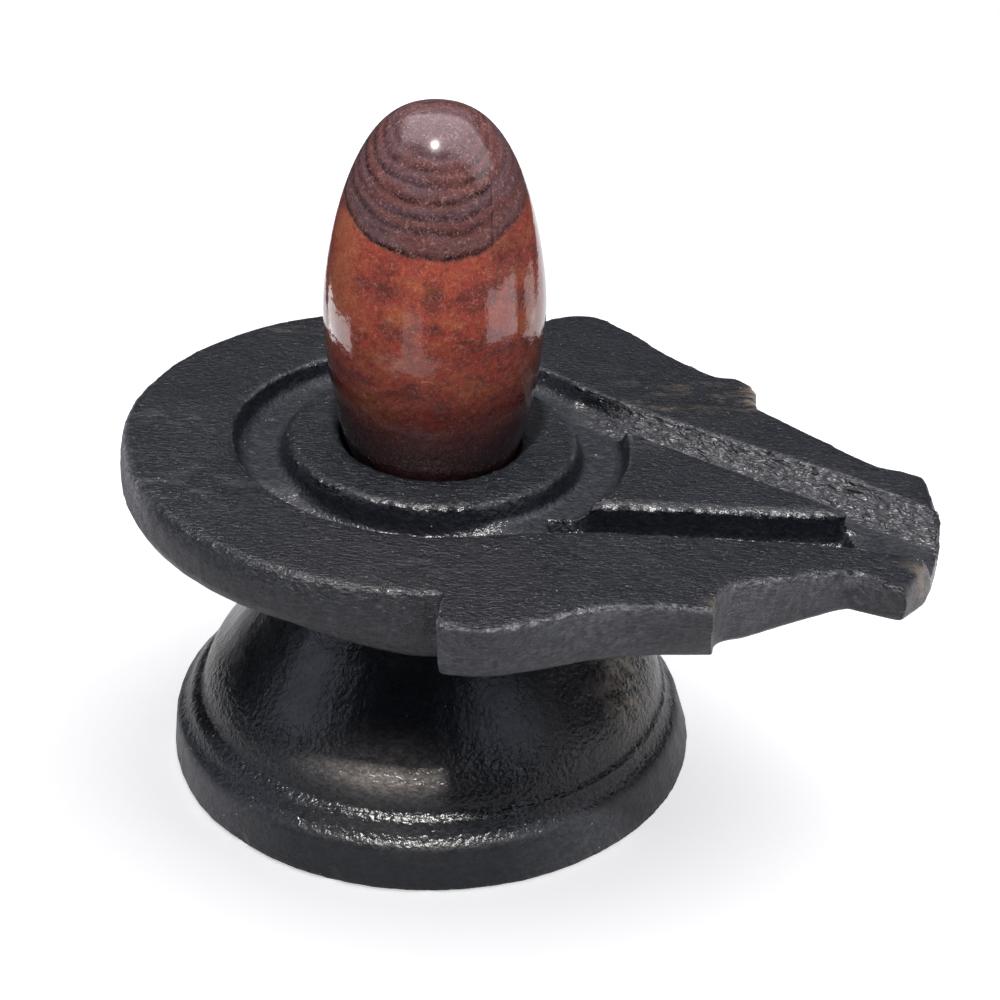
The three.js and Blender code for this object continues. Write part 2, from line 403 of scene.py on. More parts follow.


# the red body, plum and darker towards its lower end: a plum tint and painted shade
def bodyColour(tree, place, moved, height, ragged):
    cloud = jasperPattern(tree, moved, "cloud")
    mottle = jasperPattern(tree, place, "mottle")
    blotch = spread(tree, mottle, 0.3, 0.62, 0.35, 1)
    stain = spread(tree, mottle, 0.3, 0.62, 0.65, 1)
    ochre = product(tree, patchesAt(tree, moved, jasper["ochre"]), blotch)
    smudge = product(tree, patchesAt(tree, moved, jasper["smudges"]), stain)
    low = combine(tree, "ADD", height, ragged)
    red = blendColour(tree, spread(tree, cloud, 0.48, 0.66, 0, 0.7), jasper["brick"], jasper["rust"])
    red = blendColour(tree, spread(tree, cloud, 0.5, 0.34, 0, 0.6), red, jasper["dusky"])
    red = blendColour(tree, spread(tree, mottle, 0.48, 0.7, 0, 0.6), red, jasper["dusky"])
    red = blendColour(tree, ochre, red, jasper["rust"])
    red = blendColour(tree, smudge, red, jasper["dusky"])
    # plum and darker towards the lower end, painted shade with the tint
    return blendColour(tree, spread(tree, low, *jasper["shadedPlumFrom"]), red, jasper["shadedPlum"])


# light hairs and specks in the polish
def fibresAt(tree, place, height, cloth, specks):
    hairs = closeTo(tree, jasperPattern(tree, place, "hairs"), 0.5, 0.03)
    upperShare = spread(tree, height, *jasper["hairShares"])
    hairs = product(tree, hairs, product(tree, upperShare, spread(tree, cloth, 0.4, 0.5, 0.3, 1)))
    return combine(tree, "MAXIMUM", hairs, product(tree, specks, 0.2))


def buildJasper():
    material, tree, shader = newMaterial("bandedJasper")
    place = placeInMm(tree)
    moved = driftedPlace(tree, place)
    height = addNode(tree, "ShaderNodeSeparateXYZ", {0: moved}).outputs["Z"]
    normal, crackPlace, step = jasper["crack"]
    across = vectorMath(tree, "DOT_PRODUCT", place, normal, result=1)
    beyond = spread(tree, across, *(crackPlace + off for off in jasper["crackEdge"]))
    tilt = Vector(jasper["layerTilt"]).normalized()
    level = vectorMath(tree, "DOT_PRODUCT", moved, tilt, result=1)
    level = combine(tree, "ADD", level, product(tree, beyond, step))
    cloth = jasperPattern(tree, place, "cloth")
    ragged = product(tree, combine(tree, "SUBTRACT", cloth, 0.5), jasper["fray"])
    frayed = combine(tree, "ADD", level, ragged)

    inCap = spread(tree, frayed, *(jasper["layers"][0] + off for off in jasper["capEdge"]))
    cap = capColour(tree, place, moved, level, frayed, beyond)
    colour = blendColour(tree, inCap, bodyColour(tree, place, moved, height, ragged), cap)
    halfWidth, fadedAt, fullAt, strength = jasper["crackLine"]
    seam = product(tree, closeTo(tree, across, crackPlace, halfWidth), inCap)
    seam = product(tree, seam, spread(tree, level, fadedAt, fullAt, 0, strength))
    colour = blendColour(tree, seam, colour, jasper["darkLine"])
    grain, specks = grainAt(tree, place, *jasper["grain"])
    colour = blendColour(tree, 1.0, colour, grain, "MULTIPLY")
    colour = blendColour(tree, fibresAt(tree, place, height, cloth, specks), colour, jasper["fibre"])
    tree.links.new(colour, shader.inputs["Base Color"])

    rub = spread(tree, jasperPattern(tree, place, "rub"), 0.3, 0.7, *jasper["polish"])
    tree.links.new(rub, shader.inputs["Roughness"])
    coat, coatRoughness = jasper["coat"]
    shader.inputs["Coat Weight"].default_value = coat
    shader.inputs["Coat Roughness"].default_value = coatRoughness
    centre, radius, depth = jasper["pit"]
    dent = patchAt(tree, place, centre, (radius, radius, radius), -depth)
    wave = addNode(tree, "ShaderNodeBump", {
        "Height": combine(tree, "ADD", jasperPattern(tree, place, "sway"), dent),
        "Strength": 0.5, "Distance": jasper["swayHeight"] * mm})
    tree.links.new(wave.outputs[0], shader.inputs["Normal"])
    return material


lingamPiece = addPiece("lingamPolished", buildLingam(), buildJasper())
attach(lingamPiece, "root")
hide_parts("lingam_stone")
print("lingam made")


# the carved base, in mm
carving = {
    "grid": 0.75,              # fineness of the worked surface
    "softening": 2,            # passes
    "edgeSoftening": 5,
    "faceLimit": 195000,
    "keptInside": 0.05,        # the unevenness starts this far under the plain surface
    "plateTop": 107.9,         # over the origin
    "plateFall": 0.0442,       # per mm towards the spout
    "plateUnderside": (78, 84),   # heights where the plate's sides start and are fully in it
    "spoutEnd": 153.1,
    "discCentre": (-2.2, 0),
    "channelDepth": 6.6,
    "ring": (43.4, 61.5),      # radii of the ring channel
    # outer edges of the gutters and sides of the island between them: x, y
    "nearGutter": ((24.5, -54.6), (45.1, -44.1), (67.4, -36), (97.8, -27.8), (132.3, -19.6), (165, -18.5)),
    "farGutter": ((35, 48.6), (56, 40.3), (82.3, 32.7), (119.1, 22.4), (145.2, 11.6), (165, 5)),
    "islandNear": ((43, -27.8), (125, -3.4)),
    "islandFar": ((44, 28.6), (124, 0.4)),
    "guttersFrom": 25,         # x
    "margin": 1,               # a channel's wall counts as channel
    "wetFrom": (0.1, 1.2),     # depths where a channel starts and is fully in it
    "wetTo": 12,
    "nearDeepening": 4.5,      # the near gutter is cut deeper beside the island
    "gutterHead": (0.33, 43, 45),     # the slant of the deeper cut's end, and x where it comes in
    "gutterTail": (0.55, 125, 127),   # and where it goes out
    "ringDeepening": 3.5,      # the ring channel is cut deeper in front of the boss
    "ringFront": (33, 46),     # mm towards the front, from none to full
    "deeperUnder": (1.5, 4.5),   # depths where a deeper cut starts and is full
    "bossEdge": (44.4, 48.5, 2.4),   # the boss's rounded edge in front: its start, its end and its drop
    "bossFront": (12, 36),
    "rimEdge": (88.4, 90.6, 0.6),    # and the disc's
    "rimFront": (24, 44),
    "rimNotch": (4, 18),       # x, from full to none
    "arrisDepth": 3,           # an arris is at most this deep
    "islandBevel": (4.2, 1.3),   # width and drop of the island's broken near edge
    "bevelDepths": (0.8, 4.5),
    "bevelFrom": (44, 54),     # x, where it comes in
    "bevelTo": (114, 126),
    "gutterSlope": (11.5, 0.1),   # the far gutter's wall runs down over this width, from this depth
    "slopeFrom": (40, 56),
    "gutterCuts": (36, 152),   # x, the stretch that the gutters' cuts lie in
    "cutDepths": (-1, 9),      # and the depths for all of them
    "chiselledFrom": (28, 44),
    "chiselledWidth": 13,      # inwards from the far gutter's outer edge
    "gutterRun": 0.3,          # how fast the far gutter draws in towards the spout
    # unevenness: rise in mm, rate per mm
    "undulation": ((0.3, 0.035), (0.1, 0.13)),
    "hacking": ((0.28, 0.42), (0.3, 0.17)),
    "wallMarks": (0.16, (0.3, 0.3, 0.12)),
    "chisel": 0.32,
    "toolRate": (0.18, 0.45, 0.45),    # along the gutter, across it and up
    "ridgeRate": (0.24, 0.55, 0.55),
    # drips, blisters and chips in the paint: place, radius, rise
    "marks": (
        ((30.5, 30.4, 106.6), 1.4, 0.3), ((43.4, 38.5, 100.4), 1.5, 0.8), ((43.4, 38.6, 102.4), 1.3, 0.5),
        ((47, 17.6, 99.4), 1.5, 0.6), ((49, 16.4, 99.4), 1.3, -0.4), ((-53.3, 2, 103.7), 1.3, -0.5),
        ((-47.9, -27.1, 103.4), 2.6, 0.5), ((-55.2, -17, 103.6), 2.2, 0.35), ((131.7, -34.5, 99), 1.5, 0.7),
        ((131.2, -34.4, 96.6), 1.7, 0.6), ((-37.3, -75.3, 1.6), 2.2, -0.9), ((-5.7, -83.6, 2.2), 2.6, -0.8),
        ((-5.5, -76.3, 20.8), 1.3, 0.5), ((-70, -46, 4), 1.2, -0.5), ((24, -80, 2), 1.6, -0.5),
        ((66, -50, 1.5), 2, -0.6), ((-20, 82, 2), 2.4, -0.7), ((70, 44, 2), 2, -0.6),
    ),
}


def depthUnderTop(place):
    return carving["plateTop"] - carving["plateFall"] * place.x - place.z


# 1 in the ring channel and the gutters, 0 on the plate's top and outside
def inWaterway(place):
    depth = depthUnderTop(place)
    if depth < carving["wetFrom"][0] or depth > carving["wetTo"]:
        return 0
    radius = math.hypot(place.x, place.y)
    inner, outer = carving["ring"]
    if inner < radius < outer:
        return smoothStep(depth, *carving["wetFrom"])
    if place.x > carving["guttersFrom"] and radius > inner:
        low = acrossAt(carving["nearGutter"], place.x) - carving["margin"]
        high = acrossAt(carving["farGutter"], place.x) + carving["margin"]
        if low < place.y < high:
            return smoothStep(depth, *carving["wetFrom"])
    return 0


# how far a place lies in the roughly chiselled far gutter
def chiselledShare(place):
    inner = acrossAt(carving["farGutter"], place.x) - carving["chiselledWidth"]
    return smoothStep(place.x, *carving["chiselledFrom"]) * smoothStep(place.y, inner - 3, inner + 2)


# the boss's rounded front edge, over a channel that is cut deeper there
def carveRing(place, depth):
    radius = math.hypot(place.x, place.y)
    inner, outer = carving["ring"]
    if not inner < radius < outer:
        return
    if depth < carving["arrisDepth"]:
        start, end, drop = carving["bossEdge"]
        rounded = smoothStep(radius, start, end) * (1 - smoothStep(radius, end + 0.5, end + 2))
        place.z -= drop * smoothStep(-place.y, *carving["bossFront"]) * rounded
    deep = smoothStep(-place.y, *carving["ringFront"])
    place.z -= carving["ringDeepening"] * deep * smoothStep(depth, *carving["deeperUnder"])


# the disc's near edge, up to where the spout's side springs from it
def carveRim(place, depth):
    if depth >= carving["arrisDepth"]:
        return
    start, end, drop = carving["rimEdge"]
    centreX, centreY = carving["discCentre"]
    reach = math.hypot(place.x - centreX, place.y - centreY)
    near = smoothStep(-place.y, *carving["rimFront"]) * (1 - smoothStep(place.x, *carving["rimNotch"]))
    place.z -= drop * near * smoothStep(reach, start, end)


# the near gutter, deeper between two slanted ends, and the island's broken edge over it
def carveNearGutter(place, depth):
    island = acrossAt(carving["islandNear"], place.x)
    outward = island - place.y
    margin = carving["margin"]
    if acrossAt(carving["nearGutter"], place.x) - margin < place.y < island + margin:
        slant, start, full = carving["gutterHead"]
        head = smoothStep(place.x - slant * outward, start, full)
        slant, start, end = carving["gutterTail"]
        tail = 1 - smoothStep(place.x - slant * outward, start, end)
        place.z -= carving["nearDeepening"] * head * tail * smoothStep(depth, *carving["deeperUnder"])
    width, drop = carving["islandBevel"]
    if -width < outward < margin:
        along = smoothStep(place.x, *carving["bevelFrom"]) * (1 - smoothStep(place.x, *carving["bevelTo"]))
        share = 1 - max(-outward, 0) / width
        place.z -= drop * share ** 1.6 * along * (1 - smoothStep(depth, *carving["bevelDepths"]))


# the far gutter, dished between its outer edge and the island
def carveFarGutter(place, depth):
    outer = acrossAt(carving["farGutter"], place.x)
    if not acrossAt(carving["islandFar"], place.x) < place.y < outer + carving["margin"]:
        return
    width, start = carving["gutterSlope"]
    share = min(max(outer - place.y, 0) / width, 1)
    limit = start + (carving["channelDepth"] - start) * share ** 0.85
    if depth > limit:
        place.z += (depth - limit) * smoothStep(place.x, *carving["slopeFrom"])


# a place for the noises, with a rate of its own along each axis
def ratedPlace(place, rates):
    return Vector([value * rate for value, rate in zip(place, rates)])


# the ridges of the chisel, mostly along the far gutter
def chiselMarks(place):
    run = place.x + carving["gutterRun"] * place.y
    side = place.y + carving["gutterRun"] * place.x
    turned = (run, side, place.z)
    rough = chiselledShare(place)
    tool = noise.fractal(ratedPlace(turned, carving["toolRate"]), 0.9, 2.1, 3)
    ridge = 0.5 - 2 * abs(noise.noise(ratedPlace(turned, carving["ridgeRate"])))
    return carving["chisel"] * ((0.3 + 0.7 * rough) * tool + 1.3 * rough * ridge)


def lumpsAt(place, listed):
    return sum(rise * noise.noise(place * rate) for rise, rate in listed)


# how far the worked surface stands out from the plain one
def unevenness(place, normal, marks):
    depth = depthUnderTop(place)
    wet = inWaterway(place)
    upright = 1 - abs(normal.z)
    lump = lumpsAt(place, carving["undulation"])
    if wet:
        lump += wet * chiselMarks(place)
    if depth < carving["arrisDepth"] and place.z > carving["plateUnderside"][1]:
        broken = smoothStep(upright, 0.06, 0.3) * (1 - smoothStep(depth, 1.2, carving["arrisDepth"]))
        lump += broken * lumpsAt(place, carving["hacking"])
    wall = upright * smoothStep(place.z, *carving["plateUnderside"]) * (1 - wet)
    if wall > 0.1:
        rise, rates = carving["wallMarks"]
        lump += wall * noise.fractal(ratedPlace(place, rates), 1.0, 2.0, 2) * rise
    for centre, radius, rise in marks:
        if abs(place.x - centre.x) < 3 * radius and abs(place.y - centre.y) < 3 * radius:
            lump += rise * math.exp(-((place - centre).length / radius) ** 2)
    return lump


def soften(bm, verts, passes):
    for _ in range(passes):
        bmesh.ops.smooth_vert(bm, verts=verts, factor=0.5, use_axis_x=True, use_axis_y=True, use_axis_z=True)
    bm.normal_update()


# the base as the frame has it, with its faces made small and even
def evenBlock():
    bm = bmesh.new()
    bm.from_mesh(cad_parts["yoni_base"].data)
    bmesh.ops.remove_doubles(bm, verts=bm.verts, dist=1e-6)
    rough = bpy.data.meshes.new("roughBlock")
    bm.to_mesh(rough)
    bm.free()
    return withModifier(rough, "REMESH", mode="VOXEL", voxel_size=carving["grid"] * mm)


def carvedMesh():
    fine = evenBlock()
    print("base remeshed", len(fine.polygons))
    bm = bmesh.new()
    bm.from_mesh(fine)
    bmesh.ops.scale(bm, vec=(1 / mm, 1 / mm, 1 / mm), verts=bm.verts)
    first, last = carving["gutterCuts"]
    highest, lowest = carving["cutDepths"]
    for vert in bm.verts:
        depth = depthUnderTop(vert.co)
        if highest <= depth <= lowest:
            carveRing(vert.co, depth)
            carveRim(vert.co, depth)
            if first <= vert.co.x <= last:
                carveNearGutter(vert.co, depth)
                carveFarGutter(vert.co, depth)
    soften(bm, bm.verts, carving["softening"])
    arrises = [vert for vert in bm.verts
               if vert.co.z > carving["plateUnderside"][1] and depthUnderTop(vert.co) < 4
               and 0.08 < vert.normal.z < 0.985]
    soften(bm, arrises, carving["edgeSoftening"])
    marks = [(Vector(centre), radius, rise) for centre, radius, rise in carving["marks"]]
    for vert in bm.verts:
        if vert.co.z < 0.6 and vert.normal.z < -0.8:      # the underside stays flat
            continue
        lump = unevenness(vert.co, vert.normal, marks)
        vert.co += vert.normal * (lump - carving["keptInside"])
        vert.co.x = min(vert.co.x, carving["spoutEnd"])
        vert.co.z = max(vert.co.z, 0)
    bmesh.ops.scale(bm, vec=(mm, mm, mm), verts=bm.verts)
    bm.to_mesh(fine)
    bm.free()
    triangles = 2 * len(fine.polygons)
    thin = withModifier(fine, "DECIMATE", ratio=min(1, carving["faceLimit"] / triangles))
    thin.name = "baseCarved"
    print("base carved", len(thin.polygons))
    return thin


paint = {
    "black": (0.0044, 0.0051, 0.0072),
    # grey of dust, also painted sheen on the sides
    "dustAndSheenGrey": (0.083, 0.085, 0.098),
    "brownDust": (0.12, 0.095, 0.065),
    # warm dust, also painted light on the bell's foot
    "warmDustAndLight": (0.115, 0.104, 0.096),
    # bare stone, and painted reflection on the bell's edges
    "bareStoneAndSheen": (0.16, 0.13, 0.1),
    # light dust specks, also painted glints
    "speckAndGlint": (0.25, 0.25, 0.25),
    "gloss": 0.26,             # specular level of the paint
    "roughness": {
        "top": 0.3, "pedestal": 0.29, "plinth": 0.42, "side": 0.6,
        "waterway": 0.25, "chiselled": 0.42, "arris": 0.32,
    },
    "arrisBend": (0.12, 0.5),  # per mm, from round to sharp
    "plateFrom": (78, 90),     # mm over the floor
    "plinthUnder": (15.5, 13.5),
    "bellFrom": (30, 40),
    # shares of dust, with painted sheen and shade on the sides and painted light on the bell's foot
    "rubbedDust": 0.28,
    "topDust": 0.03,
    "footDustAndLightShare": 0.8,
    # dust and painted sheen on the plinth's wall, lighter at its sides than in front
    "plinthDustAndSheen": 0.35,
    "plinthWall": (15, 13.5),  # heights where its wall starts and is fully in it
    "plinthSides": (12, 30, 70),   # x of its darker middle, painted shade; mm off that, from none to full
    "floorDust": (0.1, 0.16),  # in the smooth channel and in the chiselled gutter
    "nearWallShade": 0.87,      # the disc's near wall is darker, painted shade
    "nearWall": (93.4, -78, -58),   # its reach from the disc's centre; x, from none to full
    "sideDustAndSheenAlong": ((-80, -40, 70, 130), (2.6, 1.3, 1.35, 0.6)),   # x, and the dust and painted sheen on the sides there, lightest on the left
    # small relief, in mm
    "relief": {
        "top": 0.5, "foot": 0.6, "bell": 0.17, "plinthShare": 0.4, "strokesShare": 0.15,
        "channel": 0.5, "gutter": 1.9, "pits": -0.25, "beads": 1.3,
    },
    "patterns": {
        "scuff": {"size": 7, "detail": 6, "roughness": 0.7, "distortion": 0.7,
                  "stretch": (1.8, 0.7, 1), "turn": 15},
        "cloud": {"size": 34, "detail": 5, "roughness": 0.6},
        "brushed": {"size": 1.8, "detail": 4, "roughness": 0.7, "stretch": (1, 1, 5)},
        "strokes": {"size": 1, "detail": 3, "roughness": 0.7, "distortion": 0.8,
                    "stretch": (2, 1, 1), "turn": 12},
        "fine": {"size": 1, "detail": 3, "roughness": 0.65, "distortion": 0.9,
                 "stretch": (1.8, 1, 1), "turn": 15},
        "peel": {"size": 1.5, "detail": 3, "roughness": 0.6},
        "skin": {"size": 1.5, "detail": 1.5, "distortion": 0.4},
        "wrinkle": {"size": 1.6, "detail": 1.5, "distortion": 0.5,
                    "stretch": (2.2, 0.85, 0.85), "turn": -17},
        "pits": {"size": 1.7},
    },
    "grain": (2.6, 0.4),       # size, contrast
    # rubbed, dusty, brown and bare places, some of them painted reflection and painted light: centre, reach,
    # strength
    "rubbed": (
        ((-58.9, -54.1, 110.5), (17, 10, 4), 0.9), ((-36, 3, 109.5), (9, 5, 4), 0.8),
        ((60.4, 19.4, 105.2), (6, 4, 4), 1.0), ((-70, -20, 111), (20, 9, 4), 0.5),
        ((20, -70, 107), (16, 6, 4), 0.4), ((120, 28, 102.5), (14, 5, 4), 0.4),
        ((-20, 75, 108.8), (16, 7, 4), 0.5),
    ),
    # a warm lighter patch on the bell's foot under the plate's shadow edge: dust, and painted light where the
    # lamp falls; a faint one on the plinth
    "footDustAndLight": (((5, -68, 33), (19, 10, 6), 1.1), ((12, -77, 17), (30, 6, 4), 0.1)),
    "brown": (
        ((71.6, 57.6, 104.7), (20, 9, 5), 0.8), ((60, 45, 105), (9, 5, 4), 0.6),
        ((-60, 52, 110), (14, 8, 4), 0.5),
    ),
    "bareAndSheen": (
        ((88.9, 66, 98), (3, 9, 9), 1.2), ((151, -30, 95), (5, 10, 8), 0.6), ((99, -63, 92), (3, 7, 12), 0.5),
        # the two at the bell's grazing edges, (66, -8, 37) and (-64, -17, 40), are painted reflection of the
        # floor
        ((-83, 30, 2), (10, 14, 4), 0.5), ((40, 73, 2), (14, 10, 4), 0.5), ((66, -8, 37), (9, 14, 14), 1.2),
        ((-64, -17, 40), (9, 14, 14), 1.1), ((10, 66, 36), (16, 9, 12), 0.6),
    ),
}


def readVectors(items, name):
    values = np.empty(len(items) * 3, np.float32)
    items.foreach_get(name, values)
    return values.reshape(-1, 3)


def shareOf(values, low, high):
    return np.clip((values - low) / (high - low), 0, 1)


# how sharply the surface bends at each point, per mm, above 0 on an arris
def bendAt(mesh, place, normal):
    count = len(place)
    ends = np.empty(len(mesh.edges) * 2, np.int32)
    mesh.edges.foreach_get("vertices", ends)
    first, second = ends.reshape(-1, 2).T
    shared = np.maximum(np.bincount(ends, minlength=count), 1)

    def averaged(values):
        gathered = np.bincount(first, values[second], count) + np.bincount(second, values[first], count)
        return gathered / shared

    centre = np.stack([averaged(place[:, axis]) for axis in range(3)], 1)
    length = ((place[first] - place[second]) ** 2).sum(1)
    spacing = (np.bincount(first, length, count) + np.bincount(second, length, count)) / shared
    bend = 2 * ((place - centre) * normal).sum(1) / np.maximum(spacing, 0.05)
    for _ in range(2):
        bend = (bend + averaged(bend)) / 2
    return bend


# the dust on the rough sides of the plate and on the plinth's wall away from the front, with painted sheen:
# lighter on the left and on the plinth's sides, painted shade on the disc's near wall
def sideDustAndSheen(place, normal, wet):
    across, along, height = place.T
    upright = 1 - np.abs(normal[:, 2])
    reach, start, end = paint["nearWall"]
    onDisc = np.hypot(across - carving["discCentre"][0], along) < reach
    front = onDisc * shareOf(across, start, end) * (along < 0)
    side = upright * shareOf(height, *carving["plateUnderside"]) * (1 - wet)
    side *= (1 - paint["nearWallShade"] * front) * np.interp(across, *paint["sideDustAndSheenAlong"])
    middle, start, end = paint["plinthSides"]
    aside = shareOf(np.abs(across - middle), start, end)
    return side + paint["plinthDustAndSheen"] * aside * upright * shareOf(height, *paint["plinthWall"])


def patchShare(place, listed):
    share = np.zeros(len(place))
    for centre, reach, strength in listed:
        share += strength * np.exp(-(((place - centre) / reach) ** 2).sum(1))
    return share


# what the paint needs to know at each point of the mesh
def markSurface(mesh):
    place = readVectors(mesh.vertices, "co") / mm
    normal = readVectors(mesh.vertices, "normal")
    places = [Vector(point) for point in place.tolist()]
    wet = np.array([inWaterway(point) for point in places])
    values = {
        "arris": bendAt(mesh, place, normal),
        "waterway": wet,
        "chiselled": wet * np.array([chiselledShare(point) for point in places]),
        "channelFloor": wet * shareOf(normal[:, 2], 0.55, 0.85),
        "side": sideDustAndSheen(place, normal, wet),
    }
    for name in ("rubbed", "footDustAndLight", "brown", "bareAndSheen"):
        values[name] = patchShare(place, paint[name])
    for name, given in values.items():
        attribute = mesh.attributes.new(name, "FLOAT", "POINT")
        attribute.data.foreach_set("value", given.astype(np.float32))
    print("surface marked")


def paintPattern(tree, place, name):
    return noiseAt(tree, place, **paint["patterns"][name])


def paintColour(tree, place, parts, scuff):
    streaky = spread(tree, scuff, 0.46, 0.66)
    rubbed = product(tree, attributeValue(tree, "rubbed"), streaky, paint["rubbedDust"])
    cloud = spread(tree, paintPattern(tree, place, "cloud"), 0.5, 0.75, 0, paint["topDust"])
    brushed = spread(tree, paintPattern(tree, place, "brushed"), 0.36, 0.64, 0.65, 1.1)
    onFloor = mixValue(tree, parts["chiselled"], *paint["floorDust"])
    dustAndSheenShare = combine(tree, "ADD", rubbed, product(tree, parts["upper"], cloud))
    # the sides' share carries painted sheen and painted shade as well as dust
    dustAndSheenShare = combine(tree, "ADD", dustAndSheenShare, product(tree, parts["side"], brushed))
    inChannel = product(tree, attributeValue(tree, "channelFloor"), onFloor)
    dustAndSheenShare = combine(tree, "ADD", dustAndSheenShare, inChannel, clamp=True)
    colour = blendColour(tree, dustAndSheenShare, paint["black"], paint["dustAndSheenGrey"])
    brown = product(tree, attributeValue(tree, "brown"), spread(tree, scuff, 0.48, 0.72, 0, 0.5))
    colour = blendColour(tree, brown, colour, paint["brownDust"])
    # warm dust and painted light on the bell's foot
    onFootDustAndLight = combine(tree, "MULTIPLY", attributeValue(tree, "footDustAndLight"), paint["footDustAndLightShare"], clamp=True)
    colour = blendColour(tree, onFootDustAndLight, colour, paint["warmDustAndLight"])

    grain, specks = grainAt(tree, place, *paint["grain"])
    strokes = spread(tree, paintPattern(tree, place, "strokes"), 0.36, 0.66, 0.6, 1.35)
    colour = blendColour(tree, 1.0, colour, grain, "MULTIPLY")
    colour = blendColour(tree, 1.0, colour, strokes, "MULTIPLY")
    # light specks of dust, also painted glints
    colour = blendColour(tree, product(tree, specks, 0.5), colour, paint["speckAndGlint"])
    # bare stone and chips, and painted reflection of the floor on the bell's edges
    bareAndSheen = combine(tree, "MULTIPLY", attributeValue(tree, "bareAndSheen"), spread(tree, scuff, 0.42, 0.6), clamp=True)
    chipped = product(tree, parts["arris"], spread(tree, scuff, 0.62, 0.72, 0, 0.35))
    return blendColour(tree, combine(tree, "MAXIMUM", bareAndSheen, chipped), colour, paint["bareStoneAndSheen"])


def paintRoughness(tree, parts, scuff):
    rough = paint["roughness"]
    matt = mixValue(tree, parts["upper"], rough["pedestal"], rough["top"])
    for name in ("plinth", "side", "waterway", "chiselled"):
        matt = mixValue(tree, parts[name], matt, rough[name])
    matt = mixValue(tree, product(tree, parts["arris"], 0.8), matt, rough["arris"])
    return combine(tree, "ADD", matt, spread(tree, scuff, 0.3, 0.7, -0.05, 0.05))


# brush strokes on the plate, a thick skin on the pedestal, wrinkles in the far gutter, beads on the arrises
def paintRelief(tree, place, height, parts):
    rise = paint["relief"]
    fine, peel, skin, wrinkle, pits = [
        paintPattern(tree, place, name) for name in ("fine", "peel", "skin", "wrinkle", "pits")]
    bellFoot, bell = paint["bellFrom"]
    footed = spread(tree, height, bell, bellFoot, rise["bell"], rise["foot"])
    footed = product(tree, footed, mixValue(tree, parts["plinth"], 1.0, rise["plinthShare"]))
    pedestal = combine(tree, "ADD", skin, product(tree, fine, rise["strokesShare"]))
    relief = mixValue(tree, parts["upper"], product(tree, pedestal, footed), product(tree, fine, rise["top"]))
    relief = mixValue(tree, parts["waterway"], relief, product(tree, peel, rise["channel"]))
    folds = combine(tree, "ABSOLUTE", combine(tree, "SUBTRACT", wrinkle, 0.5), 0.0)
    relief = mixValue(tree, parts["chiselled"], relief, product(tree, folds, rise["gutter"]))
    holes = product(tree, spread(tree, pits, 0.36, 0.28), product(tree, parts["side"], rise["pits"]))
    relief = combine(tree, "ADD", relief, holes)
    return combine(tree, "ADD", relief, product(tree, peel, parts["arris"], rise["beads"]))


def buildPaint():
    material, tree, shader = newMaterial("blackPaint")
    place = placeInMm(tree)
    height = addNode(tree, "ShaderNodeSeparateXYZ", {0: place}).outputs["Z"]
    parts = {name: attributeValue(tree, name) for name in ("waterway", "chiselled", "side")}
    parts["arris"] = spread(tree, attributeValue(tree, "arris"), *paint["arrisBend"])
    parts["upper"] = spread(tree, height, *paint["plateFrom"])
    parts["plinth"] = spread(tree, height, *paint["plinthUnder"])
    scuff = paintPattern(tree, place, "scuff")
    tree.links.new(paintColour(tree, place, parts, scuff), shader.inputs["Base Color"])
    tree.links.new(paintRoughness(tree, parts, scuff), shader.inputs["Roughness"])
    relief = paintRelief(tree, place, height, parts)
    ripple = addNode(tree, "ShaderNodeBump", {"Height": relief, "Strength": 1.0, "Distance": mm})
    tree.links.new(ripple.outputs[0], shader.inputs["Normal"])
    shader.inputs["Specular IOR Level"].default_value = paint["gloss"]
    return material


paintMaterial = buildPaint()
baseMesh = carvedMesh()
markSurface(baseMesh)
basePiece = addPiece("baseCarved", baseMesh, paintMaterial)
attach(basePiece, "root")
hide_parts("yoni_base")
print("base made")


# floor, world and lights, in metres
studio = {
    "floorReach": (0.33, 0.56, 1),
    "floorCentre": (0, 0.24, 0),
    "floorColour": (0.88, 0.88, 0.88),
    "floorRoughness": 0.9,
    "floorGlow": 0.56,
    "skyStrength": 0.05,
    "skyColour": (0.8, 0.88, 1.0),
    "backdrop": 1.0,
    # place, aim, size, brightness, colour
    "panels": {
        "ceiling": ((1.2, 0.5, 2.0), (1.2, 0.5, 0), (5.9, 2.8), 0.5, (0.95, 0.94, 1.0)),
        "ceilingInner": ((1.2, 0.5, 1.99), (1.2, 0.5, 0), (5.5, 2.4), 0.75, (0.95, 0.94, 1.0)),
        "ceilingCore": ((1.2, 0.5, 1.98), (1.2, 0.5, 0), (5.1, 2.0), 0.75, (0.95, 0.94, 1.0)),
        "key": ((0.3, -1.4, 3.83), (0, 0, 0.1), (0.24, 0.24), 3300, (1.0, 0.97, 0.93)),
        "leftWindow": ((-0.3, 0.03, 0.031), (0, 0.03, 0.031), (0.24, 0.062), 2.7, (1.0, 0.97, 0.98)),
        "rightWindow": ((0.37, -0.03, 0.063), (0, -0.03, 0.063), (0.24, 0.126), 2.1, (0.97, 0.95, 1.0)),
        "farWindow": ((0.33, 0.25, 0.04), (0, 0, 0.04), (0.14, 0.08), 1.4, (1, 0.97, 0.94)),
        "frontFloor": ((-0.03, -0.4, 0.01), (0, 0, 0.3), (0.16, 0.24), 1.0, (1, 0.96, 0.97)),
        "leftSheen": ((-0.92, -0.58, 0.5), (0, 0, 0.04), (0.62, 0.6), 2.4, (0.78, 0.82, 1.0)),
        "rightSheen": ((0.78, -0.5, 0.66), (0, 0, 0.04), (0.55, 0.5), 2.2, (0.78, 0.82, 1.0)),
    },
    "onlyOnBase": ("leftSheen", "rightSheen"),
    "onlyOnLingam": ("leftWindow",),
}


